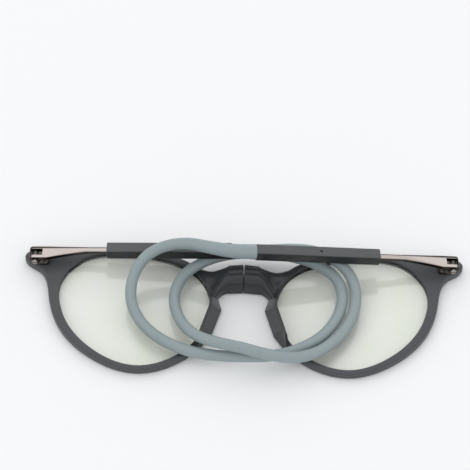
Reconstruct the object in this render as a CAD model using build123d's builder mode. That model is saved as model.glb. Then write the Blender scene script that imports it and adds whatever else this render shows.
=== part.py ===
from build123d import *
import math
import os

os.makedirs("parts", exist_ok=True)

# Reading glasses that part at the bridge, folded and lying face down, with a
# silicone neck cord between the two temple tips. X is the wearer's left to right
# seen from behind, +Y the top of the frame, +Z from the front towards the wearer.
# The origin is on the split of the bridge, at mid height of the lenses, on the
# plane of the rims' front faces. Lengths are millimetres.

right, left = 1, -1
side_names = {right: "right", left: "left"}
overrun = 1.0

# Lenses
lens_width = 50.0
lens_height = 45.0
lens_spacing = 21.0
lens_front_radius = 400.0
lens_back_radius = 1200.0
lens_edge_front = 1.0
lens_edge_back = 2.3
lens_blank_radius = 30.0
lens_x = (lens_width + lens_spacing) / 2
outline_x_shares = (1.0, 0.91, 0.633, 0.143, -0.433, -0.816, -1.0, -0.878, -0.551, -0.08, 0.49, 0.845)
outline_y_shares = (0.22, 0.645, 0.927, 1.0, 0.895, 0.645, 0.2, -0.45, -0.832, -1.0, -0.75, -0.318)

# Rims, wider at the temple side than below; one width for each point of the outline
rim_widths = (3.3, 3.2, 2.9, 2.6, 2.4, 2.4, 2.4, 2.2, 1.8, 1.6, 2.3, 3.1)
rim_depth = 3.2
rim_round = 0.8
rim_inner_round = 0.25
groove_depth = 0.5
fit_gap = 0.05
rim_lap_share = 0.5

# End pieces: flat corners that flow from the rim out to the hinge
end_reach = 11.6
end_corner = 2.2
end_top_share = 0.99
web_reaches = (10.8, 9.2, 6.7, 4.9, 3.8, 2.85)
web_y_shares = (0.817, 0.752, 0.682, 0.58, 0.45, 0.2)
top_reaches = (-6.5, 1.5)
top_y_shares = (1.05, 1.015)
end_point_count = 3
front_half_width = lens_spacing / 2 + lens_width + end_reach

# Hinges: a knuckle on the front, in a slot of the temple's heel
hinge_inset = 3.6
hinge_share = 0.835
hinge_x = front_half_width - hinge_inset
hinge_y = lens_height / 2 * hinge_share
hinge_z = 5.4
barrel_radius = 1.1
barrel_room = 0.3
stop_gap = 0.1
knuckle_length = 2.0
knuckle_foot = 2.0
fork_width = 4.5
fork_window = 2.5
fork_window_start = 1.4
fork_window_end = 2.5
fork_end = 4.0
plate_length = 4.4
plate_width = 5.0
plate_thickness = 0.8
plate_corner = 1.2
plate_start = hinge_x - barrel_room - plate_length
hinge_screw_radius = 0.6
hinge_screw_head_radius = 1.0
hinge_screw_head_height = 0.8
hinge_screw_head_gap = 0.12
hinge_screw_slot = 0.3
running_gap = 0.05
rivet_radius = 0.45
rivet_head_radius = 0.75
rivet_head_height = 0.4
rivet_length = 3.0
rivet_spacing = 3.0
rivet_inset = 1.3

# Temple arms: slotted heel, taper along a straight top edge, round rod
arm_under = 0.1
arm_thickness = 1.8
heel_gap = 0.25
heel_length = hinge_z - rim_depth - heel_gap
heel_round = 1.4
arm_edge = 0.25
waist_start = 10.0
waist_height = 3.2
waist_thickness = 1.9
waist_round = 0.6
shaft_start = 17.0
shaft_radius = 1.05
rod_radius = 1.0
rod_neck_radius = 0.7
rod_neck_length = 3.0
rod_offset = fork_width / 2 - shaft_radius

# Temple sleeves that slide on the rods
sleeve_mouth = {right: 24.9, left: 23.6}
sleeve_length = 41.0
sleeve_size = 4.0
sleeve_round = 0.45
sleeve_end_round = 0.25
bore_radius = 1.2
collar_radius = 1.35
collar_length = 2.0
sleeve_travel = 15.0
stop_screw_place = 19.7
stop_screw_radius = 0.42
stop_screw_recess = 0.12
pressed_gap = 0.02
rod_length = sleeve_travel + collar_length + stop_gap * 2

# Cord plugs and the flared cord ends on them
plug_depth = 5.0
barb_length = 2.8
barb_radius = 1.05
barb_waist_radius = 0.75
cuff_length = 3.4
cuff_radius = 2.4
cuff_end_radius = 2.25

# How the folded temples lie, in degrees: rise towards the wearer and slant to the top edge
temple_rise = {right: 8.75, left: 3.15}
temple_slant = {right: -5.4, left: -0.92}

# Bridge halves, as slices across X: low side, top side, depths at low side, crown and top side
split_gap = 0.3
housing_end = 4.9
housing_slice = (8.7, 16.6, 3.4, 7.1, 5.7)
housing_end_slice = (8.35, 16.2, 3.3, 6.9, 5.5)
neck_places = (4.9, 6.8, 8.3, 10.2, 13.6, 17.4)
neck_slices = (
    (8.35, 16.2, 3.3, 6.9, 5.5),
    (7.6, 15.7, 2.9, 5.7, 4.6),
    (5.9, 15.5, 2.8, 4.5, 3.9),
    (2.8, 15.5, 2.7, 3.5, 3.1),
    (-0.6, 16.5, 2.5, 2.9, 2.6),
    (2.0, 18.3, 2.0, 2.4, 2.0),
)
slice_round = 0.8
crown_share = 0.55
split_chamfer = 0.2
magnet_y = 12.5
magnet_z = 3.5
magnet_radius = 2.1
magnet_length = 3.8
magnet_recess = 0.1

# Nose wings, as corners of a base on the rim and of a ridge that leans out towards the lens
wing_base_z = 1.2
wing_ridge_z = 7.6
wing_base = (
    (8.3, 5.9), (7.0, 1.4), (10.0, -8.6), (14.6, -15.3), (15.6, -14.9), (10.8, 0.2), (10.2, 5.6),
)
wing_ridge = (
    (10.1, 2.2), (10.3, -1.4), (12.6, -9.4), (13.4, -11.8), (14.1, -11.6), (11.1, -1.2), (10.8, 2.1),
)
wing_round = 0.25

# Neck cord: a soft tube from the right temple's tip to the left one's, in two loose loops
cord_diameter = 3.65
cord_lead = 5.0
cord_points = (
    (-11.6, 14.7, 17.4),
    (-18.8, 17.0, 16.5),
    (-26.3, 16.6, 15.1),
    (-32.6, 13.7, 12.7),
    (-36.2, 7.8, 9.4),
    (-36.6, 0.4, 7.0),
    (-33.4, -6.8, 5.7),
    (-27.3, -12.9, 5.4),
    (-19.8, -17.0, 5.4),
    (-11.1, -19.1, 5.4),
    (-1.3, -19.4, 5.3),
    (9.6, -19.0, 5.3),
    (18.2, -16.2, 5.4),
    (25.8, -11.0, 5.4),
    (30.8, -3.2, 5.4),
    (32.5, 5.2, 5.4),
    (30.3, 12.6, 5.4),
    (24.0, 17.8, 5.4),
    (15.3, 20.8, 5.4),
    (5.5, 21.9, 5.3),
    (-4.4, 21.3, 5.3),
    (-12.8, 18.2, 5.4),
    (-20.0, 12.2, 5.5),
    (-22.9, 3.3, 5.8),
    (-21.0, -5.6, 6.2),
    (-16.1, -12.9, 7.7),
    (-8.6, -17.0, 9.6),
    (-0.7, -18.9, 10.1),
    (6.3, -21.0, 9.9),
    (13.9, -21.8, 8.7),
    (21.6, -19.4, 6.8),
    (28.6, -14.0, 5.7),
    (34.0, -6.7, 5.5),
    (36.6, 2.0, 5.5),
    (36.1, 10.6, 6.0),
    (31.8, 16.6, 7.5),
    (24.1, 19.5, 9.5),
    (14.9, 19.4, 10.3),
)
cord_split_counts = (10, 34)
arc_share = 0.45
near_count = 12


def finish(piece, name):
    piece.part.label = name
    export_step(piece.part, f"parts/{name}.step")


def lens_outline(side, grow, rim_share=0):
    """Points of the lens opening's outline, moved out by grow and a share of the rim's width."""
    half_width = lens_width / 2 - groove_depth + grow
    half_height = lens_height / 2 - groove_depth + grow
    return [
        (
            side * (lens_x + (half_width + rim_share * width) * x_share),
            (half_height + rim_share * width) * y_share,
        )
        for x_share, y_share, width in zip(outline_x_shares, outline_y_shares, rim_widths)
    ]


def lens_prism(side, grow, low, high, rim_share=0):
    """A prism of the lens outline, moved out as lens_outline does, from low to high."""
    with BuildPart() as prism:
        with BuildSketch(Plane.XY.offset(low)):
            with BuildLine():
                Spline(*lens_outline(side, grow, rim_share), periodic=True)
            make_face()
        extrude(amount=high - low)
    return prism


def front_plate(side):
    """The flat of the front: the rim and, in one smooth outline, the end piece for the hinge."""
    half_height = lens_height / 2
    rim_side = front_half_width - end_reach
    turn = end_corner * (1 - math.sqrt(0.5))
    top_y = half_height * end_top_share
    corner_points = [
        (front_half_width - end_corner, top_y),
        (front_half_width - turn, top_y - turn),
        (front_half_width, top_y - end_corner),
    ]
    web_points = [(rim_side + x, half_height * y) for x, y in zip(web_reaches, web_y_shares)]
    top_points = [(rim_side + x, half_height * y) for x, y in zip(top_reaches, top_y_shares)]
    rim_points = lens_outline(side, 0, 1)[: end_point_count - 1 : -1]
    with BuildPart() as plate:
        with BuildSketch():
            with BuildLine():
                Spline(
                    *[(side * x, y) for x, y in corner_points + web_points],
                    *rim_points,
                    *[(side * x, y) for x, y in top_points],
                    periodic=True,
                )
            make_face()
        extrude(amount=rim_depth)
        fillet(plate.edges().filter_by(Plane.XY), rim_round)
        add(lens_prism(side, 0, -overrun, rim_depth + overrun).part, mode=Mode.SUBTRACT)
        fillet(plate.edges(Select.LAST).filter_by(Plane.XY), rim_inner_round)
    return plate


def bridge_slice(side, place, low, top, low_depth, crown, top_depth):
    """A slice across the bridge: flat front, rounded corners, a crowned back."""
    turn = slice_round * (1 - math.sqrt(0.5))
    with BuildSketch(Plane(origin=(side * place, 0, 0), x_dir=(0, 1, 0), z_dir=(1, 0, 0))) as section:
        with BuildLine():
            Line((low + slice_round, 0), (top - slice_round, 0))
            ThreePointArc((top - slice_round, 0), (top - turn, turn), (top, slice_round))
            Line((top, slice_round), (top, top_depth))
            Spline(
                (top, top_depth),
                (low + (top - low) * crown_share, crown),
                (low, low_depth),
                tangents=((-turn, turn), (-turn, -slice_round)),
            )
            Line((low, low_depth), (low, slice_round))
            ThreePointArc((low, slice_round), (low + turn, turn), (low + slice_round, 0))
        make_face()
    return section.sketch


def bridge_half(side):
    """One half of the bridge: the magnet's housing and the neck that joins it to the rim."""
    with BuildPart() as bridge:
        loft(
            [
                bridge_slice(side, split_gap / 2, *housing_slice),
                bridge_slice(side, housing_end, *housing_end_slice),
            ]
        )
        chamfer(bridge.faces().sort_by(Axis.X)[0 if side == right else -1].edges(), split_chamfer)
        loft([bridge_slice(side, place, *sizes) for place, sizes in zip(neck_places, neck_slices)])
    return bridge


def nose_wing(side):
    """The fin on the rim that rests on the nose: a broad base, a thinner leaning ridge."""
    with BuildPart() as wing:
        for corners, height in ((wing_base, wing_base_z), (wing_ridge, wing_ridge_z)):
            with BuildSketch(Plane.XY.offset(height)):
                with BuildLine():
                    Polyline(*[(side * x, y) for x, y in corners], close=True)
                make_face()
        loft(ruled=True)
        fillet(wing.faces().sort_by(Axis.Z)[-1].edges(), wing_round)
    return wing


def half_front(side):
    """One half of the front: rim, end piece, bridge half and nose wing, moulded as one."""
    inside_rim = lens_prism(side, 0, -overrun, hinge_z + overrun, rim_lap_share).part
    nearest = min(math.hypot(x - side * lens_x, y) for x, y in lens_outline(side, 0))
    front_centre = lens_edge_front - sag(lens_front_radius, lens_width / 2)
    groove_front = front_centre + sag(lens_front_radius, nearest)
    groove = lens_prism(side, groove_depth + fit_gap, groove_front - fit_gap, lens_edge_back + fit_gap).part
    with BuildPart() as front:
        add(bridge_half(side).part)
        add(inside_rim, mode=Mode.SUBTRACT)
        add(front_plate(side).part)
        add(nose_wing(side).part)
        add(groove, mode=Mode.SUBTRACT)
        with Locations(Location((side * split_gap / 2, magnet_y, magnet_z), (0, side * 90, 0))):
            Cylinder(
                magnet_radius + fit_gap,
                magnet_recess + magnet_length + fit_gap,
                align=(Align.CENTER, Align.CENTER, Align.MIN),
                mode=Mode.SUBTRACT,
            )
        with Locations(*rivet_places(side)):
            Cylinder(
                rivet_radius + pressed_gap,
                rivet_length - plate_thickness + fit_gap,
                align=(Align.CENTER, Align.CENTER, Align.MAX),
                mode=Mode.SUBTRACT,
            )
    return front


def rivet_places(side):
    """Where the rivets of the hinge plate enter the end piece."""
    return [
        (side * (plate_start + rivet_inset), hinge_y + offset, rim_depth)
        for offset in (-rivet_spacing / 2, rivet_spacing / 2)
    ]


def sag(radius, reach):
    """How far a sphere's face falls away at a distance from its middle."""
    return radius - math.sqrt(radius**2 - reach**2)


def lens(side):
    """A lens cut from a round blank with two spherical faces."""
    front_centre = lens_edge_front - sag(lens_front_radius, lens_width / 2)
    back_centre = lens_edge_back - sag(lens_back_radius, lens_width / 2)
    front_edge = front_centre + sag(lens_front_radius, lens_blank_radius)
    back_edge = back_centre + sag(lens_back_radius, lens_blank_radius)
    half = lens_blank_radius / 2
    with BuildPart() as blank:
        with BuildSketch(Plane.XZ):
            with BuildLine():
                Line((0, back_centre), (0, front_centre))
                ThreePointArc(
                    (0, front_centre),
                    (half, front_centre + sag(lens_front_radius, half)),
                    (lens_blank_radius, front_edge),
                )
                Line((lens_blank_radius, front_edge), (lens_blank_radius, back_edge))
                ThreePointArc(
                    (lens_blank_radius, back_edge),
                    (half, back_centre + sag(lens_back_radius, half)),
                    (0, back_centre),
                )
            make_face()
        revolve(axis=Axis.Z)
    with BuildPart() as piece:
        add(blank.part.moved(Location((side * lens_x, 0, 0))))
        add(lens_prism(side, groove_depth, -overrun, rim_depth + overrun).part, mode=Mode.INTERSECT)
    return piece


def bridge_magnet(side):
    """A disc magnet glued into the bridge half, just short of its face."""
    with BuildPart() as magnet:
        with BuildSketch(
            Plane(
                origin=(side * (split_gap / 2 + magnet_recess), magnet_y, magnet_z),
                x_dir=(0, 1, 0),
                z_dir=(side, 0, 0),
            )
        ):
            Circle(magnet_radius)
        extrude(amount=magnet_length)
        chamfer(magnet.edges(), magnet_recess)
    return magnet


def hinge_plate(side):
    """The front's hinge leaf: a riveted plate with one knuckle."""
    with BuildPart() as leaf:
        with BuildSketch(Plane.XY.offset(rim_depth)):
            with Locations((side * (plate_start + plate_length / 2), hinge_y)):
                RectangleRounded(plate_length, plate_width, plate_corner)
        extrude(amount=plate_thickness)
        with BuildSketch(Plane.XZ.offset(-hinge_y)):
            with BuildLine():
                Polyline(
                    (side * (hinge_x - knuckle_foot), rim_depth),
                    (side * hinge_x, rim_depth),
                    (side * hinge_x, hinge_z),
                    (side * (hinge_x - barrel_radius), hinge_z),
                    (side * (hinge_x - knuckle_foot), rim_depth + plate_thickness),
                    close=True,
                )
            make_face()
        extrude(amount=knuckle_length / 2, both=True)
        with BuildSketch(Plane.XZ.offset(-hinge_y)):
            with Locations((side * hinge_x, hinge_z)):
                Circle(barrel_radius)
        extrude(amount=knuckle_length / 2, both=True)
        with Locations(Location((side * hinge_x, hinge_y, hinge_z), (90, 0, 0))):
            Cylinder(hinge_screw_radius + running_gap, plate_width, mode=Mode.SUBTRACT)
        with Locations(*rivet_places(side)):
            Cylinder(
                rivet_radius + pressed_gap,
                plate_thickness + overrun,
                align=(Align.CENTER, Align.CENTER, Align.MIN),
                mode=Mode.SUBTRACT,
            )
    return leaf


def hinge_rivets(side):
    """Two domed rivets through the hinge plate into the end piece."""
    dome_radius = (rivet_head_radius**2 + rivet_head_height**2) / (2 * rivet_head_height)
    dome_top = plate_thickness + rivet_head_height
    dome_reach = rivet_head_radius / 2
    with BuildPart() as rivet:
        with BuildSketch(Plane.XZ):
            with BuildLine():
                Polyline(
                    (0, plate_thickness - rivet_length),
                    (rivet_radius, plate_thickness - rivet_length),
                    (rivet_radius, plate_thickness),
                    (rivet_head_radius, plate_thickness),
                )
                ThreePointArc(
                    (rivet_head_radius, plate_thickness),
                    (dome_reach, dome_top - sag(dome_radius, dome_reach)),
                    (0, dome_top),
                )
                Line((0, dome_top), (0, plate_thickness - rivet_length))
            make_face()
        revolve(axis=Axis.Z)
    with BuildPart() as pair:
        for place in rivet_places(side):
            add(rivet.part.moved(Location(place)))
    return pair


def hinge_screw(side):
    """The hinge's screw: slotted head on the lower prong, shank through both prongs."""
    head_y = hinge_y - fork_width / 2 - hinge_screw_head_gap
    with BuildPart() as screw:
        with BuildSketch(Plane.XZ.offset(-head_y)):
            with Locations((side * hinge_x, hinge_z)):
                Circle(hinge_screw_head_radius)
        extrude(amount=hinge_screw_head_height)
        chamfer(screw.edges().sort_by(Axis.Y)[0], hinge_screw_slot / 2)
        with BuildSketch(Plane.XZ.offset(-head_y)):
            with Locations((side * hinge_x, hinge_z)):
                Circle(hinge_screw_radius)
        extrude(amount=-fork_width)
        with Locations((side * hinge_x, head_y - hinge_screw_head_height, hinge_z)):
            Box(
                hinge_screw_head_radius * 2 + overrun,
                hinge_screw_slot * 2,
                hinge_screw_slot,
                mode=Mode.SUBTRACT,
            )
    return screw


def temple_plane(side):
    """The folded temple's frame: X from the hinge to the tip, Z out of its outer face."""
    rise = math.radians(temple_rise[side])
    slant = math.radians(temple_slant[side])
    flat = math.cos(rise)
    along = Vector(-side * math.cos(slant) * flat, math.sin(slant) * flat, math.sin(rise))
    across = Vector(0, 0, 1).cross(along)
    return Plane(origin=(side * hinge_x, hinge_y, hinge_z), x_dir=along, z_dir=along.cross(across))


def across_temple(side, place, offset=rod_offset):
    """A plane square to the temple's axis, at a place along it, offset to its top edge."""
    frame = temple_plane(side)
    centre = frame.from_local_coords((place, -side * offset, (arm_under + arm_thickness) / 2))
    return Plane(origin=centre, x_dir=frame.y_dir, z_dir=frame.x_dir)


def temple_arm(side):
    """The metal arm: a slotted heel at the hinge, which tapers into a round rod."""
    frame = temple_plane(side)
    with BuildPart() as arm:
        with BuildSketch(Plane(origin=frame.origin, x_dir=frame.x_dir, z_dir=-frame.y_dir)):
            with Locations(((fork_end - heel_length) / 2, (arm_under + arm_thickness) / 2)):
                Rectangle(fork_end + heel_length, arm_thickness - arm_under)
        extrude(amount=fork_width / 2, both=True)
        heel_edge = arm.edges().filter_by(Axis((0, 0, 0), tuple(frame.y_dir))).sort_by(Axis.Z)[-2:]
        fillet(heel_edge.sort_by(Axis.X)[-1 if side == right else 0], heel_round)
        fillet(arm.edges().filter_by(Axis((0, 0, 0), tuple(frame.x_dir))), arm_edge)
        with BuildSketch(Plane(origin=frame.origin, x_dir=frame.x_dir, z_dir=-frame.y_dir)):
            Circle(barrel_radius)
        extrude(amount=fork_width / 2, both=True)
        with BuildSketch(frame):
            with Locations(((fork_window_end - fork_window_start) / 2, 0)):
                Rectangle(fork_window_start + fork_window_end, fork_window)
        extrude(amount=arm_thickness + overrun, both=True, mode=Mode.SUBTRACT)
        with BuildSketch(across_temple(side, fork_end, 0)):
            RectangleRounded(fork_width, arm_thickness - arm_under, arm_edge)
        with BuildSketch(across_temple(side, waist_start, (fork_width - waist_height) / 2)):
            RectangleRounded(waist_height, waist_thickness, waist_round)
        with BuildSketch(across_temple(side, shaft_start)):
            RectangleRounded(shaft_radius * 2, shaft_radius * 2, shaft_radius - stop_gap)
        loft()
        with BuildSketch(across_temple(side, shaft_start)):
            Circle(shaft_radius)
        extrude(amount=sleeve_mouth[side] - stop_gap - shaft_start)
        with BuildSketch(across_temple(side, sleeve_mouth[side] - stop_gap)):
            Circle(rod_radius)
        extrude(amount=rod_length)
        with BuildSketch(across_temple(side, sleeve_mouth[side] - stop_gap + rod_length)):
            Circle(rod_neck_radius)
        extrude(amount=rod_neck_length)
        with Locations(Location((side * hinge_x, hinge_y, hinge_z), (90, 0, 0))):
            Cylinder(hinge_screw_radius + pressed_gap, fork_width + overrun, mode=Mode.SUBTRACT)
    return arm


def rod_stop(side):
    """A bush pressed on the rod's end, which runs in the sleeve's bore and stops at the collar."""
    with BuildPart() as bush:
        with BuildSketch(across_temple(side, sleeve_mouth[side] - stop_gap + rod_length + pressed_gap)):
            Circle(bore_radius - running_gap)
            Circle(rod_neck_radius + pressed_gap, mode=Mode.SUBTRACT)
        extrude(amount=rod_neck_length)
    return bush


def sleeve_collar(side):
    """The bearing ring in the sleeve's mouth."""
    with BuildPart() as collar:
        with BuildSketch(across_temple(side, sleeve_mouth[side])):
            Circle(collar_radius)
            Circle(rod_radius + running_gap, mode=Mode.SUBTRACT)
        extrude(amount=collar_length)
    return collar


def temple_sleeve(side):
    """The square temple sleeve, bored through, with a seat for the collar in its mouth."""
    outer_face = temple_plane(side).z_dir
    screw_foot = across_temple(side, sleeve_mouth[side] + stop_screw_place)
    with BuildPart() as sleeve:
        with BuildSketch(across_temple(side, sleeve_mouth[side])):
            RectangleRounded(sleeve_size, sleeve_size, sleeve_round)
        extrude(amount=sleeve_length)
        fillet(sleeve.faces().sort_by(Axis.X)[0].edges(), sleeve_end_round)
        fillet(sleeve.faces().sort_by(Axis.X)[-1].edges(), sleeve_end_round)
        with BuildSketch(across_temple(side, sleeve_mouth[side])):
            Circle(bore_radius)
        extrude(amount=sleeve_length, mode=Mode.SUBTRACT)
        with BuildSketch(across_temple(side, sleeve_mouth[side])):
            Circle(collar_radius + pressed_gap)
        extrude(amount=collar_length, mode=Mode.SUBTRACT)
        with BuildSketch(Plane(origin=screw_foot.origin, x_dir=screw_foot.x_dir, z_dir=outer_face)):
            Circle(stop_screw_radius + pressed_gap)
        extrude(amount=sleeve_size, mode=Mode.SUBTRACT)
    return sleeve


def stop_screw(side):
    """A small grub screw in the sleeve's outer wall, sunk below its face."""
    frame = temple_plane(side)
    foot = across_temple(side, sleeve_mouth[side] + stop_screw_place).origin
    seat = foot + frame.z_dir * (bore_radius + running_gap)
    with BuildPart() as screw:
        with BuildSketch(Plane(origin=seat, x_dir=frame.x_dir, z_dir=frame.z_dir)):
            Circle(stop_screw_radius)
        extrude(amount=sleeve_size / 2 - bore_radius - running_gap - stop_screw_recess)
    return screw


def cord_plug(side):
    """A turned plug: a plain spigot in the sleeve, a barb in the cord's end."""
    tip = across_temple(side, sleeve_mouth[side] + sleeve_length)
    spigot_radius = bore_radius - pressed_gap
    with BuildPart() as plug:
        with BuildSketch(Plane(origin=tip.origin, x_dir=tip.z_dir, z_dir=tip.y_dir)):
            with BuildLine():
                Polyline(
                    (-plug_depth, 0),
                    (-plug_depth, spigot_radius),
                    (0, spigot_radius),
                    (0, barb_waist_radius),
                    (barb_length / 3, barb_waist_radius),
                    (barb_length / 3, barb_radius),
                    (barb_length * 2 / 3, barb_waist_radius),
                    (barb_length * 2 / 3, barb_radius),
                    (barb_length, barb_waist_radius),
                    (barb_length, 0),
                    close=True,
                )
            make_face()
        revolve(axis=Axis(tip.origin, tip.z_dir))
    return plug


def cord_end(side):
    """The cord's flared end, pulled over the plug's barb and butting on the sleeve."""
    tip = across_temple(side, sleeve_mouth[side] + sleeve_length)
    flared = across_temple(side, sleeve_mouth[side] + sleeve_length + cuff_length)
    with BuildPart() as cuff:
        with BuildSketch(tip):
            Circle(cuff_radius)
        with BuildSketch(flared):
            Circle(cuff_end_radius)
        loft()
        with BuildSketch(tip):
            Circle(barb_radius + pressed_gap)
        extrude(amount=barb_length + pressed_gap, mode=Mode.SUBTRACT)
    return cuff


def corner_radii(points):
    """The largest tangent arc at each corner: a share of the shorter run beside it."""
    radii = []
    for before, corner, after in zip(points, points[1:], points[2:]):
        first, second = corner - before, after - corner
        half_turn = math.radians(first.get_angle(second)) / 2
        radii.append(arc_share * min(first.length, second.length) / math.tan(half_turn))
    return radii


def cord_run(points):
    """A tube along straight runs joined by tangent arcs."""
    first_run = points[1] - points[0]
    with BuildPart() as tube:
        with BuildLine() as path:
            FilletPolyline(*points, radius=corner_radii(points))
        with BuildSketch(Plane(origin=points[0], z_dir=first_run)):
            Circle(cord_diameter / 2)
        sweep(path=path.line)
    return tube, path.wire()


sub_parts = {
    "half_front": half_front,
    "lens": lens,
    "bridge_magnet": bridge_magnet,
    "hinge_plate": hinge_plate,
    "hinge_rivets": hinge_rivets,
    "hinge_screw": hinge_screw,
    "temple_arm": temple_arm,
    "rod_stop": rod_stop,
    "sleeve_collar": sleeve_collar,
    "temple_sleeve": temple_sleeve,
    "stop_screw": stop_screw,
    "cord_plug": cord_plug,
    "cord_end": cord_end,
}
for side, side_name in side_names.items():
    for part_name, make in sub_parts.items():
        finish(make(side), f"{side_name}_{part_name}")

# The cord leaves each flared end straight, then follows its route
cord_mouths = {side: across_temple(side, sleeve_mouth[side] + sleeve_length + cuff_length) for side in side_names}
route = (
    [cord_mouths[right].origin, cord_mouths[right].origin + cord_mouths[right].z_dir * cord_lead]
    + [Vector(*point) for point in cord_points]
    + [cord_mouths[left].origin + cord_mouths[left].z_dir * cord_lead, cord_mouths[left].origin]
)
first_split, second_split = [(route[i] + route[i + 1]) / 2 for i in cord_split_counts]
runs = {
    "right_cord_run": route[: cord_split_counts[0] + 1] + [first_split],
    "neck_cord": [first_split] + route[cord_split_counts[0] + 1 : cord_split_counts[1] + 1] + [second_split],
    "left_cord_run": [second_split] + route[cord_split_counts[1] + 1 :],
}
centre_line = []
cord_length = 0
for run_name, run_points in runs.items():
    run, line = cord_run(run_points)
    finish(run, run_name)
    steps = math.ceil(line.length / (cord_diameter / 4))
    centre_line += [line.position_at(step / steps) for step in range(steps)]
    cord_length += line.length
    tube_volume = math.pi * cord_diameter**2 / 4 * line.length
    volume_share = run.part.volume / tube_volume
    print(run_name, "length", round(line.length, 1), "volume share", round(volume_share, 4))

least_gap = min(
    (centre_line[i] - centre_line[j]).length - cord_diameter
    for i in range(len(centre_line))
    for j in range(i + near_count, len(centre_line))
)
print("cord radii", [round(radius, 1) for radius in corner_radii(route)])
print("cord length", round(cord_length, 1), "least gap to itself", round(least_gap, 2))
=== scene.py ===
import bpy
import math
from mathutils import Matrix, Vector


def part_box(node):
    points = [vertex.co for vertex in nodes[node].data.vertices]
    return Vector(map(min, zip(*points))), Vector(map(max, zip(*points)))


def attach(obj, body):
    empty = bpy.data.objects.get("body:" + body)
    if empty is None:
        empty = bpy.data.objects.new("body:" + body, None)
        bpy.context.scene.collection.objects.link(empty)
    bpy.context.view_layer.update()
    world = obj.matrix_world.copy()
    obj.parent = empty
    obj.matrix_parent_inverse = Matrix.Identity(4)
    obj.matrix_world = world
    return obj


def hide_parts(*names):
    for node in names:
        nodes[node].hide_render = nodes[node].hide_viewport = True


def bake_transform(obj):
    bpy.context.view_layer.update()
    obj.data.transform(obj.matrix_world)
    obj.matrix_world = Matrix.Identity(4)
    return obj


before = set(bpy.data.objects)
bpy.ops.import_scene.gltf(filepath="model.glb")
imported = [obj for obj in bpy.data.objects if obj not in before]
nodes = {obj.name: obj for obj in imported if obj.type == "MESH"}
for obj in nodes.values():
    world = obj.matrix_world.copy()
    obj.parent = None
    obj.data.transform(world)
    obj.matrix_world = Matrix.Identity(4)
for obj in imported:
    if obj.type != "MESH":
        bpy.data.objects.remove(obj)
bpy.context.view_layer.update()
sides = ("left", "right")
mm = 0.001
print("frame loaded:", len(nodes), "CAD nodes")

# Nodes of any tree


def feed(tree, socket, value):
    # an output of another node is linked, anything else becomes the socket's own value
    if isinstance(value, bpy.types.NodeSocket):
        tree.links.new(value, socket)
    else:
        socket.default_value = value


def feedAll(tree, node, values):
    for label, value in values.items():
        feed(tree, node.inputs[label], value)
    return node


def compute(tree, operation, *values):
    node = tree.nodes.new("ShaderNodeMath")
    node.operation = operation
    for socket, value in zip(node.inputs, values):
        feed(tree, socket, value)
    return node.outputs["Value"]


def computeVector(tree, operation, first, second, result="Vector"):
    node = tree.nodes.new("ShaderNodeVectorMath")
    node.operation = operation
    feed(tree, node.inputs[0], first)
    feed(tree, node.inputs[1], second)
    return node.outputs[result]


def remap(tree, value, limits, interpolation="SMOOTHSTEP"):
    node = tree.nodes.new("ShaderNodeMapRange")
    node.interpolation_type = interpolation
    return feedAll(tree, node, {"Value": value, **limits}).outputs["Result"]


def mixColours(tree, factor, first, second):
    # the first colour where the factor is 0, the second where it is 1
    node = tree.nodes.new("ShaderNodeMix")
    node.data_type = "RGBA"
    return feedAll(tree, node, {"Factor": factor, "A": first, "B": second}).outputs["Result"]


def mixShaders(tree, factor, first, second):
    node = tree.nodes.new("ShaderNodeMixShader")
    feed(tree, node.inputs["Fac"], factor)
    feed(tree, node.inputs[1], first)
    feed(tree, node.inputs[2], second)
    return node.outputs["Shader"]


# Camera and light

cameraLook = {
    "aim": (-3.2, 20.6, 16.4),  # millimetres, where the picture's middle looks
    "distance": 700.0,  # millimetres
    "elevation": 53.0,  # degrees
    "roll": 1.35,  # degrees, the right side hangs lower
    "focalLength": 165.2,
    "sensorWidth": 36.0,
    "clipStart": 0.01,  # metres
}


def placeCamera(look):
    tilt, roll = math.radians(look["elevation"]), math.radians(look["roll"])
    acrossX = Vector((1, 0, 0))
    forward = Vector((0, math.cos(tilt), -math.sin(tilt)))
    level = Vector((0, math.sin(tilt), math.cos(tilt)))
    right = acrossX * math.cos(roll) + level * math.sin(roll)
    up = level * math.cos(roll) - acrossX * math.sin(roll)
    place = Vector(look["aim"]) * mm - forward * look["distance"] * mm
    data = bpy.data.cameras.new("photoCamera")
    data.lens = look["focalLength"]
    data.sensor_width = look["sensorWidth"]
    data.clip_start = look["clipStart"]
    camera = bpy.data.objects.new("photoCamera", data)
    bpy.context.scene.collection.objects.link(camera)
    camera.matrix_world = Matrix((
        (right.x, up.x, -forward.x, place.x),
        (right.y, up.y, -forward.y, place.y),
        (right.z, up.z, -forward.z, place.z),
        (0, 0, 0, 1),
    ))
    bpy.context.scene.camera = camera


# each lamp looks at the origin; place and size in metres, power in watts
lampLook = (
    {"name": "keyPanel", "place": (-0.7, -0.2, 1.5), "size": 1.9, "power": 5.6},
    {"name": "fillPanel", "place": (1.3, -0.7, 1.2), "size": 1.6, "power": 2.5},
    {"name": "backPanel", "place": (0.1, 1.5, 1.2), "size": 1.8, "power": 4.5},
)


def placeLamps(lamps):
    for look in lamps:
        data = bpy.data.lights.new(look["name"], "AREA")
        data.shape = "SQUARE"
        data.size = look["size"]
        data.energy = look["power"]
        lamp = bpy.data.objects.new(look["name"], data)
        lamp.location = look["place"]
        lamp.rotation_euler = (-Vector(look["place"])).to_track_quat("-Z", "Y").to_euler()
        bpy.context.scene.collection.objects.link(lamp)


worldLook = {
    "light": (0.97, 0.98, 1.0),  # what lights the scene
    "strength": 0.8,
    "shown": (0.95, 0.95, 0.95),  # what the camera, glass and gloss see instead
}


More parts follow.
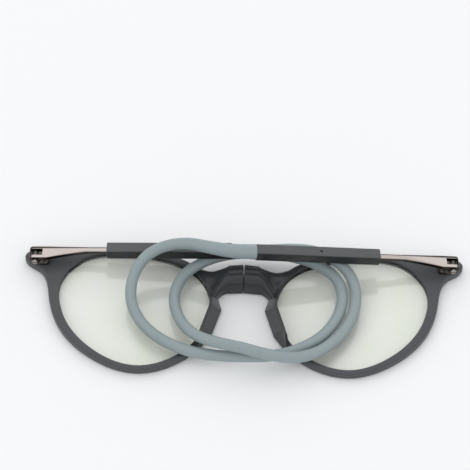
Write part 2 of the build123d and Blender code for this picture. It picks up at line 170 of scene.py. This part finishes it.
def makeWorld(look):
    world = bpy.data.worlds.new("studioWorld")
    bpy.context.scene.world = world
    world.use_nodes = True
    tree = world.node_tree
    light = tree.nodes["Background"]
    feedAll(tree, light, {"Color": (*look["light"], 1), "Strength": look["strength"]})
    shown = tree.nodes.new("ShaderNodeBackground")
    feedAll(tree, shown, {"Color": (*look["shown"], 1), "Strength": 1.0})
    ray = tree.nodes.new("ShaderNodeLightPath").outputs
    straight = compute(tree, "MAXIMUM", ray["Is Camera Ray"], ray["Is Transmission Ray"])
    seen = compute(tree, "MAXIMUM", straight, ray["Is Glossy Ray"])
    both = mixShaders(tree, seen, light.outputs["Background"], shown.outputs["Background"])
    feed(tree, tree.nodes["World Output"].inputs["Surface"], both)


floorLook = {
    "size": 6.0,  # metres
    "colour": (0.94, 0.94, 0.935),
    "roughness": 0.9,
    "specular": 0.1,
}


def makeFloor(look):
    half = look["size"] / 2
    corners = [(-half, -half, 0), (half, -half, 0), (half, half, 0), (-half, half, 0)]
    mesh = bpy.data.meshes.new("floor")
    mesh.from_pydata(corners, [], [(0, 1, 2, 3)])
    floor = bpy.data.objects.new("floor", mesh)
    bpy.context.scene.collection.objects.link(floor)
    material = bpy.data.materials.new("floorPaper")
    material.use_nodes = True
    tree = material.node_tree
    feedAll(tree, tree.nodes["Principled BSDF"], {
        "Base Color": (*look["colour"], 1),
        "Roughness": look["roughness"],
        "Specular IOR Level": look["specular"],
    })
    mesh.materials.append(material)


bpy.context.scene.view_settings.view_transform = "Standard"
placeCamera(cameraLook)
placeLamps(lampLook)
makeWorld(worldLook)
makeFloor(floorLook)
print("camera, lamps and floor placed")

# Shared shader groups


def newGroup(name, inputs, outputs):
    group = bpy.data.node_groups.new(name, "ShaderNodeTree")
    for label, kind, value in inputs:
        socket = group.interface.new_socket(label, in_out="INPUT", socket_type="NodeSocket" + kind)
        socket.default_value = value
    for label, kind in outputs:
        group.interface.new_socket(label, in_out="OUTPUT", socket_type="NodeSocket" + kind)
    inlet = group.nodes.new("NodeGroupInput").outputs
    outlet = group.nodes.new("NodeGroupOutput").inputs
    place = group.nodes.new("ShaderNodeTexCoord").outputs
    return group, inlet, outlet, place


def makeSoftMottle():
    # slow drift in colour and roughness that any moulded or cast surface has
    group, inlet, outlet, place = newGroup(
        "softMottle",
        [
            ("Color A", "Color", (0.1, 0.1, 0.1, 1)),
            ("Color B", "Color", (0.2, 0.2, 0.2, 1)),
            ("Scale", "Float", 60.0),
            ("Rough Low", "Float", 0.2),
            ("Rough High", "Float", 0.3),
        ],
        [("Color", "Color"), ("Roughness", "Float")],
    )
    noise = feedAll(group, group.nodes.new("ShaderNodeTexNoise"), {
        "Vector": place["Object"],
        "Scale": inlet["Scale"],
        "Detail": 4.0,
    })
    amount = noise.outputs["Fac"]
    roughLimits = {"To Min": inlet["Rough Low"], "To Max": inlet["Rough High"]}
    feed(group, outlet["Color"], mixColours(group, amount, inlet["Color A"], inlet["Color B"]))
    feed(group, outlet["Roughness"], remap(group, amount, roughLimits, "LINEAR"))
    return group


def makeFineGrain():
    # tiny height field, stretched along one axis for brushed metal
    group, inlet, outlet, place = newGroup(
        "fineGrain",
        [
            ("Scale", "Float", 4000.0),
            ("Stretch", "Vector", (1.0, 1.0, 1.0)),
            ("Strength", "Float", 0.1),
            ("Depth", "Float", 0.05 * mm),
        ],
        [("Normal", "Vector")],
    )
    noise = feedAll(group, group.nodes.new("ShaderNodeTexNoise"), {
        "Vector": computeVector(group, "MULTIPLY", place["Object"], inlet["Stretch"]),
        "Scale": inlet["Scale"],
        "Detail": 2.0,
    })
    bump = feedAll(group, group.nodes.new("ShaderNodeBump"), {
        "Height": noise.outputs["Fac"],
        "Strength": inlet["Strength"],
        "Distance": inlet["Depth"],
    })
    feed(group, outlet["Normal"], bump.outputs["Normal"])
    return group


def makePaintedSideShade():
    # painted shade: deepens a colour on the faces that look along one axis of the piece, either
    # way, as though they were turned from the light
    group, inlet, outlet, place = newGroup(
        "paintedSideShade",
        [
            ("Color", "Color", (0.5, 0.5, 0.5, 1)),
            ("Side Shade Color", "Color", (0.2, 0.2, 0.2, 1)),
            ("Axis", "Vector", (0.0, 1.0, 0.0)),
            ("Start", "Float", 0.3),
            ("Full", "Float", 0.95),
        ],
        [("Color", "Color")],
    )
    facing = computeVector(group, "DOT_PRODUCT", place["Normal"], inlet["Axis"], "Value")
    limits = {"From Min": inlet["Start"], "From Max": inlet["Full"]}
    depth = remap(group, compute(group, "ABSOLUTE", facing), limits)
    feed(group, outlet["Color"], mixColours(group, depth, inlet["Color"], inlet["Side Shade Color"]))
    return group


def makePaintedEdgeShade():
    # painted shade: deepens a colour in a narrow band: Point lies on the edge, Outward looks away
    # over it
    group, inlet, outlet, place = newGroup(
        "paintedEdgeShade",
        [
            ("Color", "Color", (0.5, 0.5, 0.5, 1)),
            ("Band Shade Color", "Color", (0.2, 0.2, 0.2, 1)),
            ("Point", "Vector", (0.0, 0.0, 0.0)),
            ("Outward", "Vector", (0.0, 1.0, 0.0)),
            ("Full To", "Float", 0.4 * mm),
            ("Fades By", "Float", 0.9 * mm),
        ],
        [("Color", "Color")],
    )
    offset = computeVector(group, "SUBTRACT", inlet["Point"], place["Object"])
    inside = computeVector(group, "DOT_PRODUCT", offset, inlet["Outward"], "Value")
    limits = {"From Min": inlet["Full To"], "From Max": inlet["Fades By"]}
    plain = remap(group, inside, limits)
    feed(group, outlet["Color"], mixColours(group, plain, inlet["Band Shade Color"], inlet["Color"]))
    return group


softMottle = makeSoftMottle()
fineGrain = makeFineGrain()
paintedSideShade = makePaintedSideShade()
paintedEdgeShade = makePaintedEdgeShade()

# Materials


def toLinear(colour):
    # sRGB bytes to a linear colour with alpha
    channels = (
        c / 255 / 12.92 if c <= 10 else ((c / 255 + 0.055) / 1.055) ** 2.4 for c in colour
    )
    return (*channels, 1)


def addGroup(tree, group, values):
    node = tree.nodes.new("ShaderNodeGroup")
    node.node_tree = group
    return feedAll(tree, node, values)


def newFinish(name, look):
    # a Principled shader fed by the two shared groups; low and high are sRGB bytes
    material = bpy.data.materials.new(name)
    material.use_nodes = True
    tree = material.node_tree
    shader = tree.nodes["Principled BSDF"]
    mottle = addGroup(tree, softMottle, {
        "Color A": toLinear(look["low"]),
        "Color B": toLinear(look["high"]),
        "Scale": look["mottle"],
        "Rough Low": look["rough"][0],
        "Rough High": look["rough"][1],
    })
    relief = addGroup(tree, fineGrain, {
        "Scale": look["grain"],
        "Stretch": look.get("stretch", (1, 1, 1)),
        "Strength": look["relief"],
    })
    feedAll(tree, shader, {
        "Base Color": mottle.outputs["Color"],
        "Roughness": mottle.outputs["Roughness"],
        "Normal": relief.outputs["Normal"],
        **look["shader"],
    })
    return material, tree, shader


def sourceOf(socket):
    return socket.links[0].from_socket


def passColour(tree, shader, group, values):
    # sends the base colour through one more group on its way to the shader
    values = {"Color": sourceOf(shader.inputs["Base Color"]), **values}
    node = addGroup(tree, group, values)
    feed(tree, shader.inputs["Base Color"], node.outputs["Color"])


plainLooks = {
    "hingeSteel": {
        "low": (74, 69, 67),
        "high": (112, 105, 101),
        "mottle": 900.0,
        "rough": (0.3, 0.45),
        "grain": 1500.0,
        "stretch": (1, 0.2, 1),
        "relief": 0.3,
        "shader": {"Metallic": 1.0},
    },
    "screwSteel": {
        "low": (150, 143, 139),
        "high": (172, 165, 161),
        "mottle": 400.0,
        "rough": (0.18, 0.28),
        "grain": 1500.0,
        "relief": 0.15,
        "shader": {"Metallic": 1.0},
    },
    "grubBlack": {
        "low": (12, 12, 13),
        "high": (22, 22, 23),
        "mottle": 900.0,
        "rough": (0.5, 0.6),
        "grain": 2500.0,
        "relief": 0.3,
        "shader": {"Specular IOR Level": 0.2},
    },
    "magnetNickel": {
        "low": (200, 199, 196),
        "high": (214, 213, 210),
        "mottle": 80.0,
        "rough": (0.12, 0.2),
        "grain": 2000.0,
        "relief": 0.08,
        "shader": {"Metallic": 1.0},
    },
    "bushPlastic": {
        "low": (28, 29, 30),
        "high": (36, 37, 38),
        "mottle": 60.0,
        "rough": (0.4, 0.5),
        "grain": 2500.0,
        "relief": 0.2,
        "shader": {},
    },
    "plugBrass": {
        "low": (196, 164, 104),
        "high": (212, 182, 122),
        "mottle": 60.0,
        "rough": (0.22, 0.3),
        "grain": 1500.0,
        "stretch": (0.2, 1, 1),
        "relief": 0.15,
        "shader": {"Metallic": 1.0},
    },
    "cordSilicone": {
        "low": (140, 152, 154),
        "high": (150, 162, 164),
        "mottle": 45.0,
        "rough": (0.36, 0.46),
        "grain": 5200.0,
        "relief": 0.3,
        "shader": {"IOR": 1.41, "Subsurface Weight": 0.08, "Subsurface Scale": 1.0 * mm},
    },
}

framePlasticLook = {
    "low": (70, 72, 74),
    "high": (82, 84, 87),
    "mottle": 90.0,
    "rough": (0.36, 0.46),
    "grain": 2600.0,
    "relief": 0.12,
    "shader": {"IOR": 1.45, "Specular IOR Level": 0.32},
    "polishedTo": 13.0 * mm,  # the bridge and the wings are polished, and darkened with painted shade, out to here from the middle
    "satinFrom": 23.0 * mm,
    "polish": 0.4,  # what is left of the satin roughness on the bridge
    # painted shade on the bridge and the wings
    "bridgeShadeColour": (34, 37, 39),
}


def makeFramePlastic(look):
    material, tree, shader = newFinish("framePlastic", look)
    split = tree.nodes.new("ShaderNodeSeparateXYZ")
    feed(tree, split.inputs[0], tree.nodes.new("ShaderNodeTexCoord").outputs["Object"])
    fromMiddle = compute(tree, "ABSOLUTE", split.outputs["X"])
    polishAndShadeMask = remap(tree, fromMiddle, {
        "From Min": look["polishedTo"],
        "From Max": look["satinFrom"],
        "To Min": look["polish"],
    })
    rough, colour = shader.inputs["Roughness"], shader.inputs["Base Color"]
    feed(tree, rough, compute(tree, "MULTIPLY", sourceOf(rough), polishAndShadeMask))
    # painted shade: the bridge and the wings lean to the darker colour where the mask drops
    feed(tree, colour, mixColours(tree, polishAndShadeMask, toLinear(look["bridgeShadeColour"]), sourceOf(colour)))
    return material


sleevePlasticLook = {
    "low": (68, 70, 72),
    "high": (80, 82, 84),
    "mottle": 70.0,
    "rough": (0.3, 0.4),
    "grain": 3200.0,
    "relief": 0.2,
    "shader": {"IOR": 1.48},
    # painted shade on the sleeve's faces that look along Y, so they read darker than its top
    "sideShadeColour": (30, 32, 34),
    "sideAxis": (0, 1, 0),
    "sideLimits": (0.5, 0.9),  # cosines between which the painted side shade sets in
}


# paints shade onto the faces that look along the look's axis
def paintSideShade(tree, shader, look):
    start, full = look["sideLimits"]
    passColour(tree, shader, paintedSideShade, {
        "Side Shade Color": toLinear(look["sideShadeColour"]),
        "Axis": look["sideAxis"],
        "Start": start,
        "Full": full,
    })


def makeSleevePlastic(look):
    material, tree, shader = newFinish("sleevePlastic", look)
    paintSideShade(tree, shader, look)
    return material


armMetalLook = {
    "low": (172, 163, 159),
    "high": (196, 187, 183),
    "mottle": 50.0,
    "rough": (0.26, 0.36),
    "grain": 900.0,
    "stretch": (0.08, 1, 1),
    "relief": 0.25,
    "shader": {"Metallic": 1.0},
    # painted shade on the faces that look along sideAxis, so the rod's edges read dark and its
    # middle bright
    "sideShadeColour": (54, 48, 45),
    "sideAxis": (0, 0.93, 0.36),
    "sideLimits": (0.4, 0.82),
    "edgeShadeColour": (62, 55, 52),  # painted shade along the rolled top edge and on the end of the fork
    "topBand": (0.55 * mm, 1.15 * mm),  # full to here, faded out by here
    "endBand": (0.5 * mm, 1.3 * mm),
    # a point of the top edge over the hinge pin, and the way that looks out over the edge
    "topEdge": {
        "left": ((-68.5 * mm, 21.04 * mm, 5.4 * mm), (0.016, 0.99987, 0)),
        "right": ((68.5 * mm, 21.04 * mm, 5.4 * mm), (-0.0941, 0.99556, 0)),
    },
}


def paintEdgeShade(tree, shader, colour, point, outward, band):
    passColour(tree, shader, paintedEdgeShade, {
        "Band Shade Color": toLinear(colour),
        "Point": point,
        "Outward": outward,
        "Full To": band[0],
        "Fades By": band[1],
    })


def makeArmMetal(side, look):
    material, tree, shader = newFinish(side + "ArmMetal", look)
    paintSideShade(tree, shader, look)
    # painted shade along the top edge, then on the fork's end
    paintEdgeShade(tree, shader, look["edgeShadeColour"], *look["topEdge"][side], look["topBand"])
    low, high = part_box(side + "_temple_arm")
    endX, outward = (low[0], (-1, 0, 0)) if side == "left" else (high[0], (1, 0, 0))
    paintEdgeShade(tree, shader, look["edgeShadeColour"], (endX, 0, 0), outward, look["endBand"])
    return material


lensPlasticLook = {
    # painted reflection: the tint drifts in patches between faint green and clear, standing in for
    # the coating's coloured reflections
    "low": (246, 251, 241),
    "high": (255, 255, 255),
    "mottle": 45.0,
    "rough": (0.005, 0.015),
    "grain": 200.0,
    "relief": 0.0,
    # the coating keeps reflections down
    "shader": {"Transmission Weight": 1.0, "IOR": 1.5, "Specular IOR Level": 0.3},
}


def makeLensPlastic(look):
    # clear resin that lets the lamps' light through to the floor
    material, tree, shader = newFinish("lensPlastic", look)
    clear = tree.nodes.new("ShaderNodeBsdfTransparent")
    clear.inputs["Color"].default_value = (1.0, 1.0, 1.0, 1)
    shadow = tree.nodes.new("ShaderNodeLightPath").outputs["Is Shadow Ray"]
    both = mixShaders(tree, shadow, shader.outputs["BSDF"], clear.outputs["BSDF"])
    feed(tree, tree.nodes["Material Output"].inputs["Surface"], both)
    return material


plain = {name: newFinish(name, look)[0] for name, look in plainLooks.items()}
finishes = {
    "half_front": makeFramePlastic(framePlasticLook),
    "lens": makeLensPlastic(lensPlasticLook),
    "bridge_magnet": plain["magnetNickel"],
    "hinge_plate": plain["hingeSteel"],
    "hinge_rivets": plain["hingeSteel"],
    "hinge_screw": plain["screwSteel"],
    "rod_stop": plain["bushPlastic"],
    "sleeve_collar": plain["bushPlastic"],
    "temple_sleeve": makeSleevePlastic(sleevePlasticLook),
    "stop_screw": plain["grubBlack"],
    "cord_plug": plain["plugBrass"],
    "cord_end": plain["cordSilicone"],
}


def dress(piece, material):
    piece.data.materials.clear()
    piece.data.materials.append(material)


for side in sides:
    for name, material in finishes.items():
        dress(nodes[f"{side}_{name}"], material)
    dress(nodes[f"{side}_temple_arm"], makeArmMetal(side, armMetalLook))
print("materials set on the CAD nodes")

# Neck cord

cordLook = {
    "diameter": 3.65 * mm,
    "endDiameter": 4.6 * mm,  # the flared end that grips the plug
    "taper": 26.0 * mm,  # over this length the flare fades
    "leftTaper": 12.0 * mm,  # shorter, because the right sleeve lies just above
    "ringSpacing": 0.7 * mm,
    "sides": 28,
    "splineSteps": 24,  # points of the spline read for each control point
}
# control points in millimetres, from the right tip round both loops to the left tip
cordRoute = (
    (0.341, 13.55, 16.881),
    (-4.578, 13.085, 17.642),
    (-11.6, 14.7, 17.4),
    (-18.8, 17.0, 16.5),
    (-26.3, 16.6, 15.1),
    (-32.6, 13.7, 12.7),
    (-36.2, 7.8, 9.4),
    (-36.6, 0.4, 7.0),
    (-33.4, -6.8, 5.7),
    (-27.3, -12.9, 5.4),
    (-19.8, -17.0, 5.4),
    (-11.1, -19.1, 5.4),
    (-1.3, -19.4, 5.3),
    (9.6, -19.0, 5.3),
    (18.2, -16.2, 5.4),
    (25.8, -11.0, 5.4),
    (30.8, -3.2, 5.4),
    (32.5, 5.2, 5.4),
    (30.3, 12.6, 5.4),
    (24.0, 17.8, 5.4),
    (15.3, 20.8, 5.4),
    (5.5, 21.9, 5.3),
    (-4.4, 21.3, 5.3),
    (-12.8, 18.2, 5.4),
    (-20.0, 12.2, 5.5),
    (-22.9, 3.3, 5.8),
    (-21.0, -5.6, 6.2),
    (-16.1, -12.9, 7.7),
    (-8.6, -17.0, 9.6),
    (-0.7, -18.9, 10.1),
    (6.3, -21.0, 9.9),
    (13.9, -21.8, 8.7),
    (21.6, -19.4, 6.8),
    (28.6, -14.0, 5.7),
    (34.0, -6.7, 5.5),
    (36.6, 2.0, 5.5),
    (36.1, 10.6, 6.0),
    (31.8, 16.8, 7.4),
    (24.1, 20.3, 9.2),
    (14.9, 20.9, 9.3),
    (4.347, 18.818, 10.36),
    (-0.644, 18.898, 10.085),
)


def makeRouteCurve(route, look):
    data = bpy.data.curves.new("cordRoute", "CURVE")
    data.dimensions = "3D"
    spline = data.splines.new("NURBS")
    spline.points.add(len(route) - 1)
    for point, (x, y, z) in zip(spline.points, route):
        point.co = (x * mm, y * mm, z * mm, 1)
    spline.order_u = 3
    spline.use_endpoint_u = True
    spline.resolution_u = look["splineSteps"]
    curve = bpy.data.objects.new("cordRoute", data)
    bpy.context.scene.collection.objects.link(curve)
    return curve


def meshOf(source):
    bpy.context.view_layer.update()
    evaluated = source.evaluated_get(bpy.context.evaluated_depsgraph_get())
    return bpy.data.meshes.new_from_object(evaluated)


def readLine(curve):
    # points of the spline itself, and how far along it each one lies
    mesh = meshOf(curve)
    points = [vertex.co.copy() for vertex in mesh.vertices]
    bpy.data.meshes.remove(mesh)
    reach = [0.0]
    for before, after in zip(points, points[1:]):
        reach.append(reach[-1] + (after - before).length)
    return points, reach


def makeTubeTree(look):
    # Curve to Mesh along a trimmed stretch of the route, flared near each end of the whole cord
    tree = bpy.data.node_groups.new("siliconeTube", "GeometryNodeTree")
    for label, kind, value in (
        ("Geometry", "Geometry", None),
        ("From", "Float", 0.0),
        ("To", "Float", 0.1),
        ("Whole Length", "Float", 0.35),
        ("Radius", "Float", look["diameter"] / 2),
        ("End Radius", "Float", look["endDiameter"] / 2),
        ("Taper", "Float", look["taper"]),
        ("Ring Spacing", "Float", look["ringSpacing"]),
        ("Sides", "Int", look["sides"]),
        ("Material", "Material", None),
    ):
        socket = tree.interface.new_socket(label, in_out="INPUT", socket_type="NodeSocket" + kind)
        if value is not None:
            socket.default_value = value
    tree.interface.new_socket("Geometry", in_out="OUTPUT", socket_type="NodeSocketGeometry")
    inlet = tree.nodes.new("NodeGroupInput").outputs
    outlet = tree.nodes.new("NodeGroupOutput").inputs

    trim = tree.nodes.new("GeometryNodeTrimCurve")
    trim.mode = "LENGTH"
    feedAll(tree, trim, {"Curve": inlet["Geometry"], "Start": inlet["From"], "End": inlet["To"]})
    even = tree.nodes.new("GeometryNodeResampleCurve")
    even.mode = "LENGTH"
    feedAll(tree, even, {"Curve": trim.outputs["Curve"], "Length": inlet["Ring Spacing"]})

    along = tree.nodes.new("GeometryNodeSplineParameter").outputs["Length"]
    fromRightEnd = compute(tree, "ADD", along, inlet["From"])
    fromLeftEnd = compute(tree, "SUBTRACT", inlet["Whole Length"], fromRightEnd)
    radius = remap(tree, compute(tree, "MINIMUM", fromRightEnd, fromLeftEnd), {
        "From Max": inlet["Taper"],
        "To Min": inlet["End Radius"],
        "To Max": inlet["Radius"],
    })
    thick = tree.nodes.new("GeometryNodeSetCurveRadius")
    feedAll(tree, thick, {"Curve": even.outputs["Curve"], "Radius": radius})

    ring = tree.nodes.new("GeometryNodeCurvePrimitiveCircle")
    feedAll(tree, ring, {"Radius": 1.0, "Resolution": inlet["Sides"]})
    tube = feedAll(tree, tree.nodes.new("GeometryNodeCurveToMesh"), {
        "Curve": thick.outputs["Curve"],
        "Profile Curve": ring.outputs["Curve"],
        "Scale": tree.nodes.new("GeometryNodeInputRadius").outputs["Radius"],
        "Fill Caps": True,
    })

    smooth = tree.nodes.new("GeometryNodeSetShadeSmooth")
    feed(tree, smooth.inputs["Geometry"], tube.outputs["Mesh"])
    quadCorners = 4  # a face with more corners is a cap and stays flat
    isCap = tree.nodes.new("FunctionNodeCompare")
    isCap.data_type = "INT"
    isCap.operation = "GREATER_THAN"
    faces = tree.nodes.new("GeometryNodeInputMeshFaceNeighbors")
    feedAll(tree, isCap, {"A": faces.outputs["Vertex Count"], "B": quadCorners})
    flat = feedAll(tree, tree.nodes.new("GeometryNodeSetShadeSmooth"), {
        "Geometry": smooth.outputs["Geometry"],
        "Selection": isCap.outputs["Result"],
        "Shade Smooth": False,
    })

    real = tree.nodes.new("GeometryNodeRealizeInstances")
    feed(tree, real.inputs["Geometry"], flat.outputs["Geometry"])
    paint = tree.nodes.new("GeometryNodeSetMaterial")
    feedAll(tree, paint, {"Geometry": real.outputs["Geometry"], "Material": inlet["Material"]})
    feed(tree, outlet["Geometry"], paint.outputs["Geometry"])
    return tree


def growTube(name, curve, tree, settings):
    # the tree runs on a copy of the route, and its result becomes a plain mesh
    source = bpy.data.objects.new(name + "Route", curve.data.copy())
    bpy.context.scene.collection.objects.link(source)
    modifier = source.modifiers.new("tube", "NODES")
    modifier.node_group = tree
    inputs = [item for item in tree.interface.items_tree if item.in_out == "INPUT"]
    identifiers = {item.name: item.identifier for item in inputs}
    for label, value in settings.items():
        modifier[identifiers[label]] = value
    mesh = meshOf(source)
    source.modifiers.remove(modifier)
    bpy.data.objects.remove(source)
    piece = bpy.data.objects.new(name, mesh)
    bpy.context.scene.collection.objects.link(piece)
    return piece


routeCurve = makeRouteCurve(cordRoute, cordLook)
linePoints, lineReach = readLine(routeCurve)
wholeLength = lineReach[-1]
print("cord length in metres:", round(wholeLength, 4))

# name, where it starts and stops along the cord in millimetres (None is the cord's end),
# the bodies it follows, the blend's line in millimetres, the CAD nodes it stands for
cordStretches = (
    (
        "cordFromRightTip", 0, 36,
        ("right_sleeve", "right_temple"), ((0, 14, 17), (-31.5, 16, 14)),
        ("right_cord_run",),
    ),
    (
        "cordOverLeftLens", 36, 84,
        ("right_temple", "right_front"), ((-30, 11, 9), (-30, -17, 9)),
        ("right_cord_run", "neck_cord"),
    ),
    (
        "cordUnderBridge", 84, 140,
        ("right_front",), None,
        ("neck_cord",),
    ),
    (
        "cordInnerLoop", 140, 212,
        ("right_front", "left_front"), ((30, 18, 5), (-19, 18, 5)),
        ("neck_cord",),
    ),
    (
        "cordInnerReturn", 212, 252,
        ("left_front",), None,
        ("neck_cord",),
    ),
    (
        "cordOuterLoop", 252, 308,
        ("left_front", "left_temple"), ((34, -18, 6), (34, 12, 6)),
        ("neck_cord", "left_cord_run"),
    ),
    (
        "cordToLeftTip", 308, None,
        ("left_temple", "left_sleeve"), ((33, 15, 7), (0.5, 19, 10)),
        ("left_cord_run",),
    ),
)
tubeTree = makeTubeTree(cordLook)
for name, start, stop, bodies, line, stoodFor in cordStretches:
    first = start * mm
    last = wholeLength if stop is None else stop * mm
    taper = cordLook["leftTaper"] if stop is None else cordLook["taper"]
    piece = growTube(name, routeCurve, tubeTree, {
        "From": first,
        "To": last,
        "Whole Length": wholeLength,
        "Taper": taper,
        "Material": finishes["cord_end"],
    })
    if line is None:
        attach(piece, bodies[0])
    else:
        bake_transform(piece)
    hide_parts(*stoodFor)
bpy.data.objects.remove(routeCurve)
print("neck cord made in", len(cordStretches), "stretches")
